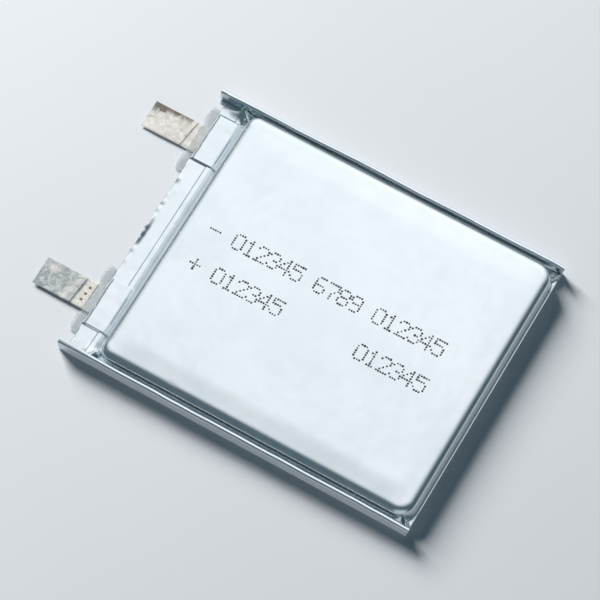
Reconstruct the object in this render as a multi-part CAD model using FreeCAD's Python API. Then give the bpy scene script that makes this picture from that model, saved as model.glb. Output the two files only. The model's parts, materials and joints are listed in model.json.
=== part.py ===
import FreeCAD, Part
import math
import os

os.makedirs("parts", exist_ok=True)

# Pouch battery cell, in millimetres.
# +Y runs towards the tab end, +X towards the negative tab's side, +Z out of the drawn face.
# The origin is the centre of the flat underside that the cell rests on.

# ---- overall sizes
cell_length = 50.0           # over the ends of the folded side seals
cell_width = 40.8            # over the outer faces of the folded side seals
cell_thickness = 3.0         # flat back to the top of the drawn cup

# ---- pouch
laminate = 0.11              # aluminium laminate sheet
cup_corner_radius = 2.5      # corners of the drawn cup, in plan
shoulder_radius = 1.0        # rounded edge between the walls and the top
cup_end_slope = 0.95         # how far the tab end wall leans back over the cup's height
terrace_depth = 3.25         # flat sealed margin at the tab end
seal_overhang = 0.8          # side seals run this far past the cut edge of the terrace
bottom_lip = 0.25            # folded edge of the sheet at the bottom end

# ---- folded side seals
seal_height = 2.4
seal_gap = 0.44              # channel between the cup's wall and the seal
fold_slit = 0.02             # between the two legs of the fold
fold_leg_clearance = 0.13    # below the inner leg of the fold
seal_edge_radius = 0.1

# ---- tabs
tab_width = 4.0
tab_thickness = 0.1
film_thickness = 0.1         # sealant film on each face of a tab
film_width = 7.0             # inside the seal
film_ear_width = 10.2        # outside the seal, where the film spreads
film_ear_clearance = 0.02
film_reach = 1.0             # how far the film comes out past the cut edge
film_tail = 0.55             # how far the film runs into the cup
tab_inner_length = 15.0      # from the roll's end into the roll
tab_bend_radius = 0.3        # middle of the strip, where the negative tab drops to the seal

positive_inset = 7.1         # cup wall to the middle of the tab
positive_reach = 7.6         # tip past the side seals
positive_crease = 1.82       # crease past the side seals
positive_skew = -0.10        # slope of the crease across the tab
positive_film_shift = 0.0
stub_length = 1.3            # aluminium tab past the side seals, under the nickel plate

negative_inset = 6.0
negative_reach = 7.1
negative_crease = 0.98
negative_skew = -0.13
negative_film_shift = 0.75

crease_gap = 0.15            # from the bend's axis to the edge of the fixed part
plate_clearance = 0.05       # between the film and the nickel plate

# ---- weld spots
weld_radius = 0.22
weld_height = 0.03
weld_pitch = 0.92
weld_count = 3
weld_setback = 0.9           # from the crease back to the row of spots
foil_weld_radius = 0.3
foil_weld_pitch = 1.2
foil_weld_rows = 4
foil_weld_inset = 1.2        # from the inner end of a tab

# ---- wound electrode roll
winding_rows = 6             # straight layers, three above the core and three below
separator = 0.04
layer_gap = 0.015
foil = 0.04                  # bare foil leads that the tabs are welded to
core_half_gap = 0.13
roll_side_clearance = 0.74
roll_end_clearance = 1.64    # at the bottom end
roll_tab_clearance = 1.05    # at the tab end, measured from the cup's top edge
roll_top_clearance = 0.075
electrode_margin = 0.4       # separator past the anode, and anode past the cathode
lead_margin = 3.0            # bare foil past the tab, on its free side
roll_edge_margin = 0.4       # from the end of a sheet to the start of the turn

# ---- insulating tapes inside
tape = 0.06
tape_side_margin = 1.0
tape_length = 6.0
tape_end_margin = 0.6        # from the tab end of the roll
end_tape_length = 18.0
end_tape_clearance = 2.0     # from the inner end of the positive tab

# ---- worked out from the sizes above
half_length = cell_length / 2
half_width = cell_width / 2
fold_thickness = 4 * laminate + fold_slit
cup_half_width = half_width - fold_thickness - seal_gap
cut_edge = half_length - seal_overhang
cup_end_base = cut_edge - terrace_depth
cup_end_top = cup_end_base - cup_end_slope
cup_start = -half_length + bottom_lip

film_floor = laminate
tab_floor = film_floor + film_thickness
tab_top = tab_floor + tab_thickness
film_top = tab_top + film_thickness
tab_middle = tab_floor + tab_thickness / 2

positive_x = -cup_half_width + positive_inset
negative_x = cup_half_width - negative_inset

roll_floor = tab_top
roll_height = cell_thickness - laminate - roll_top_clearance - roll_floor
# One turn of the winding takes a pitch; the rows and the core add up to the roll's height.
winding_pitch = (roll_height + 2 * layer_gap - 2 * core_half_gap) / (winding_rows + 0.5)
electrode = (winding_pitch - 2 * separator - 4 * layer_gap) / 2
roll_middle = roll_floor + core_half_gap + winding_pitch - layer_gap
roll_middle = roll_middle + (winding_rows - 1) * winding_pitch / 2
turn_radius = roll_middle - roll_floor - winding_pitch / 4
turn_centre = cup_half_width - laminate - roll_side_clearance - turn_radius
roll_start = cup_start + roll_end_clearance
roll_end = cup_end_top - roll_tab_clearance


def box(x_low, x_high, y_low, y_high, z_low, z_high):
    """A block between two corners."""
    corner = FreeCAD.Vector(x_low, y_low, z_low)
    return Part.makeBox(x_high - x_low, y_high - y_low, z_high - z_low, corner)


def line(first, second):
    """A straight edge between two (x, y, z) points."""
    return Part.makeLine(FreeCAD.Vector(*first), FreeCAD.Vector(*second))


def arc(first, middle, last):
    """A circular edge through three (x, y, z) points."""
    return Part.Arc(FreeCAD.Vector(*first), FreeCAD.Vector(*middle), FreeCAD.Vector(*last)).toShape()


def save(name, shape):
    """Write one sub-part to its own file."""
    shape.exportStep("parts/" + name + ".step")


# ------------------------------------------------------------------ pouch

def rounded_outline(x_half, y_low, y_high, z, radius):
    """Closed rectangle with round corners, flat at height z."""
    diagonal = radius * (1 - math.sqrt(0.5))
    x_in = x_half - radius
    y_in_low = y_low + radius
    y_in_high = y_high - radius
    x_mid = x_half - diagonal
    edges = [
        line((-x_in, y_low, z), (x_in, y_low, z)),
        arc((x_in, y_low, z), (x_mid, y_low + diagonal, z), (x_half, y_in_low, z)),
        line((x_half, y_in_low, z), (x_half, y_in_high, z)),
        arc((x_half, y_in_high, z), (x_mid, y_high - diagonal, z), (x_in, y_high, z)),
        line((x_in, y_high, z), (-x_in, y_high, z)),
        arc((-x_in, y_high, z), (-x_mid, y_high - diagonal, z), (-x_half, y_in_high, z)),
        line((-x_half, y_in_high, z), (-x_half, y_in_low, z)),
        arc((-x_half, y_in_low, z), (-x_mid, y_low + diagonal, z), (-x_in, y_low, z)),
    ]
    return Part.Wire(edges)


def cup_form(inset):
    """Solid form of the drawn cup, shrunk by an inset: 0 is the outside, laminate the inside."""
    x_half = cup_half_width - inset
    y_low = cup_start + inset
    radius = cup_corner_radius - inset
    top = cell_thickness - inset
    base_outline = rounded_outline(x_half, y_low, cup_end_base - inset, laminate, radius)
    top_outline = rounded_outline(x_half, y_low, cup_end_top - inset, top, radius)
    form = Part.makeLoft([base_outline, top_outline], True, True)
    rim = [edge for edge in form.Edges if min(v.Z for v in edge.Vertexes) > top - 1e-4]
    return form.makeFillet(shoulder_radius - inset, rim)


def film_zone(centre, side, height, y_low):
    """Block where the terrace rises over a tab's films."""
    reach = film_width / 2 + side
    return box(centre - reach, centre + reach, y_low, cut_edge, laminate, height)


def make_pouch_cup():
    """Drawn half of the pouch: the cup, its terrace and the rises over the tab films."""
    margin = box(-cup_half_width, cup_half_width, cup_start, cut_edge, laminate, 2 * laminate)
    outside = cup_form(0.0).fuse(margin)
    inside = cup_form(laminate)
    rise_start = cup_end_top - laminate
    for centre in (positive_x + positive_film_shift, negative_x + negative_film_shift):
        outside = outside.fuse(film_zone(centre, laminate, film_top + laminate, rise_start))
        inside = inside.fuse(film_zone(centre, 0.0, film_top, rise_start - laminate))
    cup = outside.cut(inside)
    # Only the shell is kept: the blocks' inner ends lie inside the cavity, which is cut away.
    return cup.removeSplitter()


def make_pouch_back():
    """Flat half of the pouch, with the sheet's fold as a round lip at the bottom end."""
    sheet = box(-cup_half_width, cup_half_width, cup_start, cut_edge, 0.0, laminate)
    lip = box(-cup_half_width, cup_half_width, -half_length, cup_start, 0.0, 2 * laminate)
    lip_corners = []
    for edge in lip.Edges:
        at_end = all(abs(v.Y + half_length) < 1e-6 for v in edge.Vertexes)
        along_x = abs(edge.Vertexes[0].X - edge.Vertexes[1].X) > 1.0
        if at_end and along_x:
            lip_corners.append(edge)
    lip = lip.makeFillet(0.8 * laminate, lip_corners)
    return sheet.fuse(lip).removeSplitter()


def make_side_seal(side):
    """Heat-sealed side margin, folded up and over, so that its cut edge faces the cup."""
    leg = 2 * laminate
    outer = half_width
    inner = half_width - fold_thickness
    crown = seal_height - fold_thickness / 2
    bend = seal_edge_radius * (1 - math.sqrt(0.5))
    leg_end = leg + fold_leg_clearance
    y = -half_length

    def at(x, z):
        return (side * x, y, z)

    edges = [
        line(at(cup_half_width, 0.0), at(outer - seal_edge_radius, 0.0)),
        arc(at(outer - seal_edge_radius, 0.0), at(outer - bend, bend), at(outer, seal_edge_radius)),
        line(at(outer, seal_edge_radius), at(outer, crown)),
        arc(at(outer, crown), at((outer + inner) / 2, seal_height), at(inner, crown)),
        line(at(inner, crown), at(inner, leg_end)),
        line(at(inner, leg_end), at(inner + leg, leg_end)),
        line(at(inner + leg, leg_end), at(inner + leg, crown)),
        line(at(inner + leg, crown), at(outer - leg, crown)),
        line(at(outer - leg, crown), at(outer - leg, leg)),
        line(at(outer - leg, leg), at(cup_half_width, leg)),
        line(at(cup_half_width, leg), at(cup_half_width, 0.0)),
    ]
    return Part.Face(Part.Wire(edges)).extrude(FreeCAD.Vector(0, cell_length, 0))


# ------------------------------------------------------------------ tabs

def crease_y(crease, skew, offset):
    """Height along Y of the crease line, this far across the tab from its middle."""
    return half_length + crease + skew * offset


def strip_to_crease(x, y_start, crease, skew, z_low):
    """Fixed strip from y_start to just short of the crease, which crosses it at a slant."""
    half = tab_width / 2
    back = crease_gap * math.hypot(1.0, skew)
    points = [
        FreeCAD.Vector(x - half, y_start, z_low),
        FreeCAD.Vector(x + half, y_start, z_low),
        FreeCAD.Vector(x + half, crease_y(crease, skew, half) - back, z_low),
        FreeCAD.Vector(x - half, crease_y(crease, skew, -half) - back, z_low),
    ]
    outline = Part.makePolygon(points + [points[0]])
    return Part.Face(outline).extrude(FreeCAD.Vector(0, 0, tab_thickness))


def make_tab_end(x, crease, skew, reach, z_low):
    """Free end of a tab: it turns about the round edge along its crease."""
    half = tab_width / 2
    tip = half_length + reach
    radius = tab_thickness / 2
    points = [
        FreeCAD.Vector(x - half, crease_y(crease, skew, -half), z_low),
        FreeCAD.Vector(x + half, crease_y(crease, skew, half), z_low),
        FreeCAD.Vector(x + half, tip, z_low),
        FreeCAD.Vector(x - half, tip, z_low),
    ]
    blade = Part.Face(Part.makePolygon(points + [points[0]])).extrude(FreeCAD.Vector(0, 0, tab_thickness))
    along = FreeCAD.Vector(1.0, skew, 0.0)
    middle = FreeCAD.Vector(x, crease_y(crease, skew, 0.0), z_low + radius)
    overrun = tab_width
    root = Part.makeCylinder(radius, 2 * overrun, middle - along.normalize() * overrun, along)
    sides = box(x - half, x + half, middle.y - tab_width, middle.y + tab_width, z_low, z_low + tab_thickness)
    return blade.fuse(root.common(sides)).removeSplitter()


def make_positive_tab():
    """Aluminium strip, straight from under the roll to a stub outside the seal."""
    half = tab_width / 2
    y_start = roll_end - tab_inner_length
    return box(positive_x - half, positive_x + half, y_start, half_length + stub_length, tab_floor, tab_top)


def make_positive_tab_plate():
    """Foot of the nickel strip, welded on the aluminium stub."""
    y_start = cut_edge + film_reach + plate_clearance
    return strip_to_crease(positive_x, y_start, positive_crease, positive_skew, tab_top)


def make_positive_weld_spots():
    """Row of weld spots across the nickel plate."""
    spots = []
    for index in range(weld_count):
        offset = (index - (weld_count - 1) / 2) * weld_pitch
        y = crease_y(positive_crease, positive_skew, offset) - weld_setback
        base = FreeCAD.Vector(positive_x + offset, y, tab_top + tab_thickness)
        spots.append(Part.makeCylinder(weld_radius, weld_height, base))
    return Part.makeCompound(spots)


def make_negative_tab():
    """Nickel strip: welded in the core of the roll, bent down at its end, then out through the seal."""
    half = tab_width / 2
    x_low = negative_x - half
    y_start = roll_end - tab_inner_length
    upper = negative_tab_middle
    thin = tab_thickness / 2
    inner = tab_bend_radius - thin
    outer = tab_bend_radius + thin
    drop_y = roll_end + tab_bend_radius + 0.3 * tab_bend_radius
    top_y = drop_y - tab_bend_radius
    foot_y = drop_y + tab_bend_radius
    top_z = upper - tab_bend_radius
    foot_z = tab_middle + tab_bend_radius
    slant = math.sqrt(0.5)
    seam_y = foot_y + tab_bend_radius

    def at(y, z):
        return (x_low, y, z)

    edges = [
        line(at(y_start, upper - thin), at(top_y, upper - thin)),
        arc(at(top_y, upper - thin), at(top_y + inner * slant, top_z + inner * slant), at(drop_y - thin, top_z)),
        line(at(drop_y - thin, top_z), at(drop_y - thin, foot_z)),
        arc(at(drop_y - thin, foot_z), at(foot_y - outer * slant, foot_z - outer * slant),
            at(foot_y, tab_floor)),
        line(at(foot_y, tab_floor), at(seam_y, tab_floor)),
        line(at(seam_y, tab_floor), at(seam_y, tab_top)),
        line(at(seam_y, tab_top), at(foot_y, tab_top)),
        arc(at(foot_y, tab_top), at(foot_y - inner * slant, foot_z - inner * slant),
            at(drop_y + thin, foot_z)),
        line(at(drop_y + thin, foot_z), at(drop_y + thin, top_z)),
        arc(at(drop_y + thin, top_z), at(top_y + outer * slant, top_z + outer * slant),
            at(top_y, upper + thin)),
        line(at(top_y, upper + thin), at(y_start, upper + thin)),
        line(at(y_start, upper + thin), at(y_start, upper - thin)),
    ]
    inner_part = Part.Face(Part.Wire(edges)).extrude(FreeCAD.Vector(tab_width, 0, 0))
    outer_part = strip_to_crease(negative_x, seam_y, negative_crease, negative_skew, tab_floor)
    return inner_part.fuse(outer_part).removeSplitter()


def make_film(tab_x, shift, upper):
    """One sealant film of a pair, with its half of the tab's slot and its ears outside the seal."""
    z_low = tab_middle if upper else film_floor
    z_high = film_top if upper else tab_middle
    centre = tab_x + shift
    half = film_width / 2
    ear = film_ear_width / 2
    y_out = cut_edge + film_reach
    film = box(centre - half, centre + half, cup_end_base - film_tail, y_out, z_low, z_high)
    ears_start = cut_edge + film_ear_clearance
    film = film.fuse(box(tab_x - ear, tab_x + ear, ears_start, y_out, z_low, z_high))
    slot = box(tab_x - tab_width / 2, tab_x + tab_width / 2, 0.0, half_length + stub_length,
               tab_floor, tab_top)
    return film.cut(slot).removeSplitter()


# ------------------------------------------------------------------ wound roll

def row_height(row, depth):
    """Height of one straight row, at a depth into its turn; rows alternate above and below."""
    reach = core_half_gap + row * winding_pitch / 2 + depth
    return roll_middle + reach if row % 2 == 0 else roll_middle - reach


def winding_path(depth, y, first_row, first_x, last_row, last_x):
    """Edges of the flat spiral at one depth, from first_x on the first row to last_x on the last."""
    edges = []
    x = first_x
    for row in range(first_row, last_row + 1):
        height = row_height(row, depth)
        turn_side = 1 if row % 2 == 0 else -1
        row_end = last_x if row == last_row else turn_side * turn_centre
        edges.append(line((x, y, height), (row_end, y, height)))
        if row == last_row:
            break
        next_height = row_height(row + 1, depth)
        radius = abs(height - next_height) / 2
        crest = (turn_side * (turn_centre + radius), y, (height + next_height) / 2)
        edges.append(arc((row_end, y, height), crest, (row_end, y, next_height)))
        x = row_end
    return edges


def make_wound_sheet(depth, thickness, y_start, y_end, first_row, first_x, last_row, last_x):
    """A sheet wound flat from its start to its end."""
    inner = winding_path(depth, y_start, first_row, first_x, last_row, last_x)
    outer = winding_path(depth + thickness, y_start, first_row, first_x, last_row, last_x)
    low = row_height(first_row, depth)
    high = row_height(first_row, depth + thickness)
    start_cap = line((first_x, y_start, low), (first_x, y_start, high))
    low = row_height(last_row, depth)
    high = row_height(last_row, depth + thickness)
    end_cap = line((last_x, y_start, low), (last_x, y_start, high))
    outline = Part.Wire(inner + [end_cap] + outer[::-1] + [start_cap])
    return Part.Face(outline).extrude(FreeCAD.Vector(0, y_end - y_start, 0))


anode_depth = separator + layer_gap
outer_separator_depth = anode_depth + electrode + layer_gap
cathode_depth = outer_separator_depth + separator + layer_gap
last_row = winding_rows - 1
anode_start = roll_start + electrode_margin
anode_end = roll_end - electrode_margin
cathode_start = anode_start + electrode_margin
cathode_end = anode_end - electrode_margin
negative_tab_top = row_height(0, anode_depth)
negative_tab_middle = negative_tab_top - tab_thickness / 2
sheet_limit = turn_centre - roll_edge_margin
anode_lead_start = negative_x - tab_width / 2 - lead_margin
anode_coat_start = negative_x + tab_width / 2 + roll_edge_margin
cathode_coat_end = positive_x + tab_width / 2 + lead_margin


def make_anode_lead():
    """Bare copper start of the anode, over the negative tab."""
    top = negative_tab_top + foil
    return box(anode_lead_start, anode_coat_start, anode_start, anode_end, negative_tab_top, top)


def make_cathode_lead():
    """Bare aluminium end of the cathode, on the positive tab."""
    return box(-sheet_limit, cathode_coat_end, cathode_start, cathode_end, roll_floor, roll_floor + foil)


def make_foil_welds(tab_x, tab_under):
    """Two files of weld spots under the inner end of a tab."""
    spots = []
    y_first = roll_end - tab_inner_length + foil_weld_inset
    for index in range(foil_weld_rows):
        for side in (-1, 1):
            x = tab_x + side * foil_weld_pitch / 2
            y = y_first + index * foil_weld_pitch
            base = FreeCAD.Vector(x, y, tab_under - weld_height)
            spots.append(Part.makeCylinder(foil_weld_radius, weld_height, base))
    return Part.makeCompound(spots)


def make_tab_tape(tab_x, tab_under):
    """Insulating tape under a tab, where it leaves the roll."""
    half = tab_width / 2 + tape_side_margin
    y_end = roll_end - tape_end_margin
    return box(tab_x - half, tab_x + half, y_end - tape_length, y_end, tab_under - tape, tab_under)


def make_end_tape():
    """Tape that closes the end of the winding, beside the positive tab."""
    y_end = roll_end - tab_inner_length - end_tape_clearance
    y_start = y_end - end_tape_length
    return box(-turn_centre, cathode_coat_end, y_start, y_end, roll_floor - tape, roll_floor)


# ------------------------------------------------------------------ all sub-parts

save("pouch_cup", make_pouch_cup())
save("pouch_back", make_pouch_back())
save("left_side_seal", make_side_seal(-1))
save("right_side_seal", make_side_seal(1))

save("positive_tab", make_positive_tab())
save("positive_tab_plate", make_positive_tab_plate())
save("positive_weld_spots", make_positive_weld_spots())
save("positive_tab_end", make_tab_end(positive_x, positive_crease, positive_skew, positive_reach, tab_top))
save("positive_upper_film", make_film(positive_x, positive_film_shift, True))
save("positive_lower_film", make_film(positive_x, positive_film_shift, False))

save("negative_tab", make_negative_tab())
save("negative_tab_end", make_tab_end(negative_x, negative_crease, negative_skew, negative_reach, tab_floor))
save("negative_upper_film", make_film(negative_x, negative_film_shift, True))
save("negative_lower_film", make_film(negative_x, negative_film_shift, False))

save("inner_separator",
     make_wound_sheet(0.0, separator, roll_start, roll_end, 0, anode_coat_start, last_row, -turn_centre))
save("anode_sheet",
     make_wound_sheet(anode_depth, electrode, anode_start, anode_end, 0, anode_coat_start,
                      last_row, -sheet_limit))
save("outer_separator",
     make_wound_sheet(outer_separator_depth, separator, roll_start, roll_end, 0, -sheet_limit,
                      last_row, -turn_centre))
save("cathode_sheet",
     make_wound_sheet(cathode_depth, electrode, cathode_start, cathode_end, 1, sheet_limit,
                      last_row, cathode_coat_end))
save("anode_lead", make_anode_lead())
save("cathode_lead", make_cathode_lead())

save("positive_foil_welds", make_foil_welds(positive_x, tab_floor))
save("negative_foil_welds", make_foil_welds(negative_x, negative_tab_top - tab_thickness))
save("positive_tab_tape", make_tab_tape(positive_x, tab_floor))
save("negative_tab_tape", make_tab_tape(negative_x, negative_tab_top - tab_thickness))
save("roll_end_tape", make_end_tape())
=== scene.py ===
"""Pouch battery cell: the finished surfaces of its pouch, tabs, films and winding, round the packed model."""

import json
import math

import bpy
import numpy as np
from bpy.props import FloatProperty, FloatVectorProperty, PointerProperty, StringProperty
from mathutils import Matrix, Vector, noise


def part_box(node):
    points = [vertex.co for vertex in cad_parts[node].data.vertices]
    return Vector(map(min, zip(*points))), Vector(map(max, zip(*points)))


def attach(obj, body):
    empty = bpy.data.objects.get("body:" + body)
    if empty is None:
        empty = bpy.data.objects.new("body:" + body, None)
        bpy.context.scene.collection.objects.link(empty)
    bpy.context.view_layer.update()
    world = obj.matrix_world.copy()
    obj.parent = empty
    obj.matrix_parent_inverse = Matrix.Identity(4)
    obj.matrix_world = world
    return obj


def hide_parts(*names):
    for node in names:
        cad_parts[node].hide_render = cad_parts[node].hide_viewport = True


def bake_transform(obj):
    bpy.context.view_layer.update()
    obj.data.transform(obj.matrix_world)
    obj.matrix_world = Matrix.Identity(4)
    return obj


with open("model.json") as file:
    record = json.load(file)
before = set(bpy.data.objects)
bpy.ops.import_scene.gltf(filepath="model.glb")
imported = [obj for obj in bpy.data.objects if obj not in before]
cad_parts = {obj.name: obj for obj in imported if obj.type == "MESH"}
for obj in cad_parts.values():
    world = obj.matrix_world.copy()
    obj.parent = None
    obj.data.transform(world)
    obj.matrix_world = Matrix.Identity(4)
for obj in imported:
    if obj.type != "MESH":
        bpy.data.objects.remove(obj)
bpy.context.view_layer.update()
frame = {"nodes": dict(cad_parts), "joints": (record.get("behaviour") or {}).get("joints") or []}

bl_info = {
    "name": "Pouch Battery Cell",
    "version": (1, 0, 0),
    "blender": (4, 5, 0),
    "location": "View3D > Sidebar > Pouch Cell",
    "description": "Builds the finished surfaces of a pouch battery cell round its packed model",
    "category": "Add Mesh",
}

MM = 0.001


def node_box(name):
    """Lowest and highest corner of a packed node, in millimetres."""
    low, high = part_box(name)
    return low / MM, high / MM


# ------------------------------------------------------------------ places taken from the frame

cup_low, cup_high = node_box("pouch_cup")
seal_high = node_box("right_side_seal")[1]
roll_high = node_box("inner_separator")[1]
negative_low, negative_high = node_box("negative_tab")
negative_tip = node_box("negative_tab_end")[1].y
positive_low, positive_high = node_box("positive_tab")
plate_low = node_box("positive_tab_plate")[0]
positive_tip = node_box("positive_tab_end")[1].y
film_low, film_high = node_box("negative_upper_film")
spots_low, spots_high = node_box("positive_weld_spots")

LAMINATE = cup_low.z
CUP_HALF_WIDTH = cup_high.x
CUP_START = cup_low.y
CUT_EDGE = cup_high.y
CELL_TOP = cup_high.z
HALF_LENGTH = seal_high.y
SEAL_OUTER = seal_high.x
SEAL_TOP = seal_high.z
SEAL_FLOOR = 2 * LAMINATE
FILM_END = film_high.y
NEGATIVE_X = (negative_low.x + negative_high.x) / 2
POSITIVE_X = (positive_low.x + positive_high.x) / 2
TAB_WIDTH = positive_high.x - positive_low.x
TAB_THICKNESS = positive_high.z - positive_low.z


def joint_axis(name):
    """Point, in millimetres, and direction of a hinge's axis."""
    for joint in frame["joints"]:
        if joint["name"] == name:
            return Vector(joint["pos_m"]) / MM, Vector(joint["axis"])
    raise RuntimeError("there is no joint " + name)


# ------------------------------------------------------------------ sizes and colours a user may change

def length(name, description, millimetres):
    """A length property, given in millimetres."""
    return FloatProperty(name=name, description=description, default=millimetres * MM,
                         min=0.0, precision=5, unit="LENGTH")


def colour(name, description, red, green, blue):
    """A colour property."""
    return FloatVectorProperty(name=name, description=description, default=(red, green, blue),
                               size=3, min=0.0, max=1.0, subtype="COLOR")


def share(name, description, value):
    """A factor from 0 to 1."""
    return FloatProperty(name=name, description=description, default=value, min=0.0, max=1.0,
                         subtype="FACTOR")


class PouchSettings(bpy.types.PropertyGroup):
    """Sizes and colours of the laminate pouch."""

    corner_radius: length("Corner Radius", "Corners of the drawn cup, in plan", 2.5)
    shoulder: length("Shoulder", "Width of the rounded edge of the cup", 1.25)
    shoulder_drop: length("Shoulder Drop", "Height of the rounded edge of the cup", 1.05)
    side_draft: length("Side Draft", "Lean of the cup's side walls", 0.12)
    end_lean: length("End Lean", "Lean of the cup's wall at the tab end", 0.95)
    crown: length("Crown", "How much higher the middle of the cup is than its rim", 0.165)
    terrace_depth: length("Terrace Depth", "Sealed margin at the tab end", 3.25)
    fold_thickness: length("Fold Thickness", "Folded side seal, over both legs", 0.46)
    film_zone: length("Film Zone", "Width of the rise over a tab's films", 7.22)
    film_zone_rise: length("Film Zone Rise", "Height of that rise over the seal", 0.3)
    negative_shift: length("Negative Zone Shift", "Rise over the negative tab, off its middle", 0.75)
    wrinkle: length("Wrinkle", "Height of the ripples in the flat face", 0.02)
    light_tone: colour("Light Tone", "Clean laminate", 0.86, 0.925, 0.96)
    dark_tone: colour("Dark Tone", "Worn laminate", 0.81, 0.885, 0.925)
    roughness: share("Roughness", "Roughness of the laminate", 0.20)


class TabSettings(bpy.types.PropertyGroup):
    """Sizes and colours of the tabs and their films."""

    wrinkle: length("Wrinkle", "Height of the ripples in the tabs", 0.045)
    nickel: colour("Nickel", "Clean nickel strip", 0.80, 0.76, 0.69)
    stain: colour("Stain", "Stained nickel", 0.24, 0.215, 0.18)
    dull_nickel: colour("Dull Nickel", "Mottled nickel of the positive strip", 0.40, 0.44, 0.435)
    aluminium: colour("Aluminium", "Aluminium tab", 0.82, 0.83, 0.84)
    weld: colour("Weld", "Burnt rim of a weld spot", 0.22, 0.13, 0.07)
    film: colour("Film", "Sealant film", 0.62, 0.67, 0.70)
    film_opacity: share("Film Opacity", "How much the sealant film hides", 0.24)


class PrintSettings(bpy.types.PropertyGroup):
    """The dot printed marks on the drawn face."""

    first_line: StringProperty(name="First Line", description="Digits and polarity mark",
                               default="- 012345 6789 012345")
    second_line: StringProperty(name="Second Line", description="Digits and polarity mark",
                                default="+ 012345")
    end_group: StringProperty(name="End Group", description="Digits at the end of the second line",
                              default="012345")
    cell_pitch: length("Character Pitch", "From one character to the next", 1.70)
    dot_pitch: length("Dot Pitch", "From one dot to the next", 0.345)
    dot_radius: length("Dot Radius", "Radius of an ink dot", 0.15)
    ink: colour("Ink", "Printing ink", 0.055, 0.066, 0.074)


class InsideSettings(bpy.types.PropertyGroup):
    """Colours of the winding inside."""

    graphite: colour("Graphite", "Coated anode sheet", 0.035, 0.036, 0.040)
    oxide: colour("Oxide", "Coated cathode sheet", 0.060, 0.058, 0.062)
    separator: colour("Separator", "Porous separator film", 0.86, 0.87, 0.87)
    copper: colour("Copper", "Bare copper foil", 0.80, 0.42, 0.28)
    foil: colour("Aluminium Foil", "Bare aluminium foil", 0.80, 0.81, 0.83)
    tape: colour("Tape", "Insulating tape", 0.70, 0.62, 0.22)


class StageSettings(bpy.types.PropertyGroup):
    """Floor, lamp, sky and camera."""

    floor: colour("Floor", "Pale table", 0.775, 0.80, 0.84)
    lamp_power: FloatProperty(name="Lamp Power", description="Power of the key lamp",
                              default=10.9, min=0.0, unit="POWER")
    lamp_distance: length("Lamp Distance", "From the lamp to the cell", 750.0)
    lamp_size: length("Lamp Size", "Side of the square lamp", 310.0)
    lens: length("Lens", "Focal length of the camera", 210.0)
    camera_distance: length("Camera Distance", "From the camera to its target", 442.9)


# ------------------------------------------------------------------ mesh helpers

def smooth(value, low, high):
    """0 up to low, 1 from high, and a soft step between them."""
    t = np.clip((value - low) / (high - low), 0.0, 1.0)
    return t * t * (3.0 - 2.0 * t)


def ripple(x, y, size, seed):
    """Smooth random value from -1 to 1 at each point, in waves about as long as size."""
    values = [noise.noise(Vector((px / size, py / size, seed))) for px, py in zip(x.ravel(), y.ravel())]
    return np.array(values).reshape(x.shape)


def spread(start, end, step):
    """Evenly spaced values from start to end, about a step apart."""
    return list(np.linspace(start, end, max(2, round(abs(end - start) / step) + 1)))


def gather(*groups):
    """Sorted values of several groups, without near repeats."""
    values = sorted(value for group in groups for value in group)
    kept = [values[0]]
    for value in values[1:]:
        if value - kept[-1] > 0.012:
            kept.append(value)
    return np.array(kept)


def swell(x, y, centre, reach, turn=0.0):
    """Soft round hill from 0 to 1, as long and as wide as reach, turned by an angle in degrees."""
    angle = math.radians(turn)
    along = (x - centre[0]) * math.cos(angle) + (y - centre[1]) * math.sin(angle)
    across = (y - centre[1]) * math.cos(angle) - (x - centre[0]) * math.sin(angle)
    return np.exp(-((along / reach[0]) ** 2 + (across / reach[1]) ** 2))


def ridge(x, y, start, end, width):
    """Soft wall from 0 to 1 along a straight line from start to end, and how far along it each point is."""
    run = np.array(end, float) - np.array(start, float)
    along = ((x - start[0]) * run[0] + (y - start[1]) * run[1]) / (run @ run)
    held = np.clip(along, 0.0, 1.0)
    gap = np.hypot(x - start[0] - held * run[0], y - start[1] - held * run[1])
    return np.exp(-((gap / width) ** 2)), held


def grid_faces(rows, columns, first=0, turned=False):
    """Quads that join rows of points."""
    faces = []
    for row in range(rows - 1):
        for column in range(columns - 1):
            corner = first + row * columns + column
            quad = (corner, corner + 1, corner + columns + 1, corner + columns)
            faces.append(quad[::-1] if turned else quad)
    return faces


def make_object(name, points, faces):
    """A smooth shaded mesh from points in millimetres."""
    mesh = bpy.data.meshes.new(name)
    mesh.from_pydata([tuple(point) for point in np.asarray(points, float) * MM], [], faces)
    mesh.validate()
    mesh.shade_smooth()
    mesh.update()
    made = bpy.data.objects.new(name, mesh)
    bpy.context.scene.collection.objects.link(made)
    return made


def make_slab(name, upper, lower):
    """A closed sheet between two grids of points."""
    rows, columns = upper.shape[:2]
    count = rows * columns
    faces = grid_faces(rows, columns) + grid_faces(rows, columns, count, turned=True)
    rim = list(range(columns)) + [row * columns + columns - 1 for row in range(1, rows)]
    rim += [(rows - 1) * columns + column for column in range(columns - 2, -1, -1)]
    rim += [row * columns for row in range(rows - 2, 0, -1)]
    for here, there in zip(rim, rim[1:] + rim[:1]):
        faces.append((here, here + count, there + count, there))
    return make_object(name, np.concatenate([upper.reshape(-1, 3), lower.reshape(-1, 3)]), faces)


def crease_sharply(made, degrees):
    """Shade edges steeper than an angle as sharp."""
    made.data.set_sharp_from_angle(angle=math.radians(degrees))


def give_values(made, name, values):
    """Store one value for each point of the mesh, for its material to read."""
    attribute = made.data.attributes.new(name, "FLOAT", "POINT")
    attribute.data.foreach_set("value", np.asarray(values, np.float32).ravel())


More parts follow.
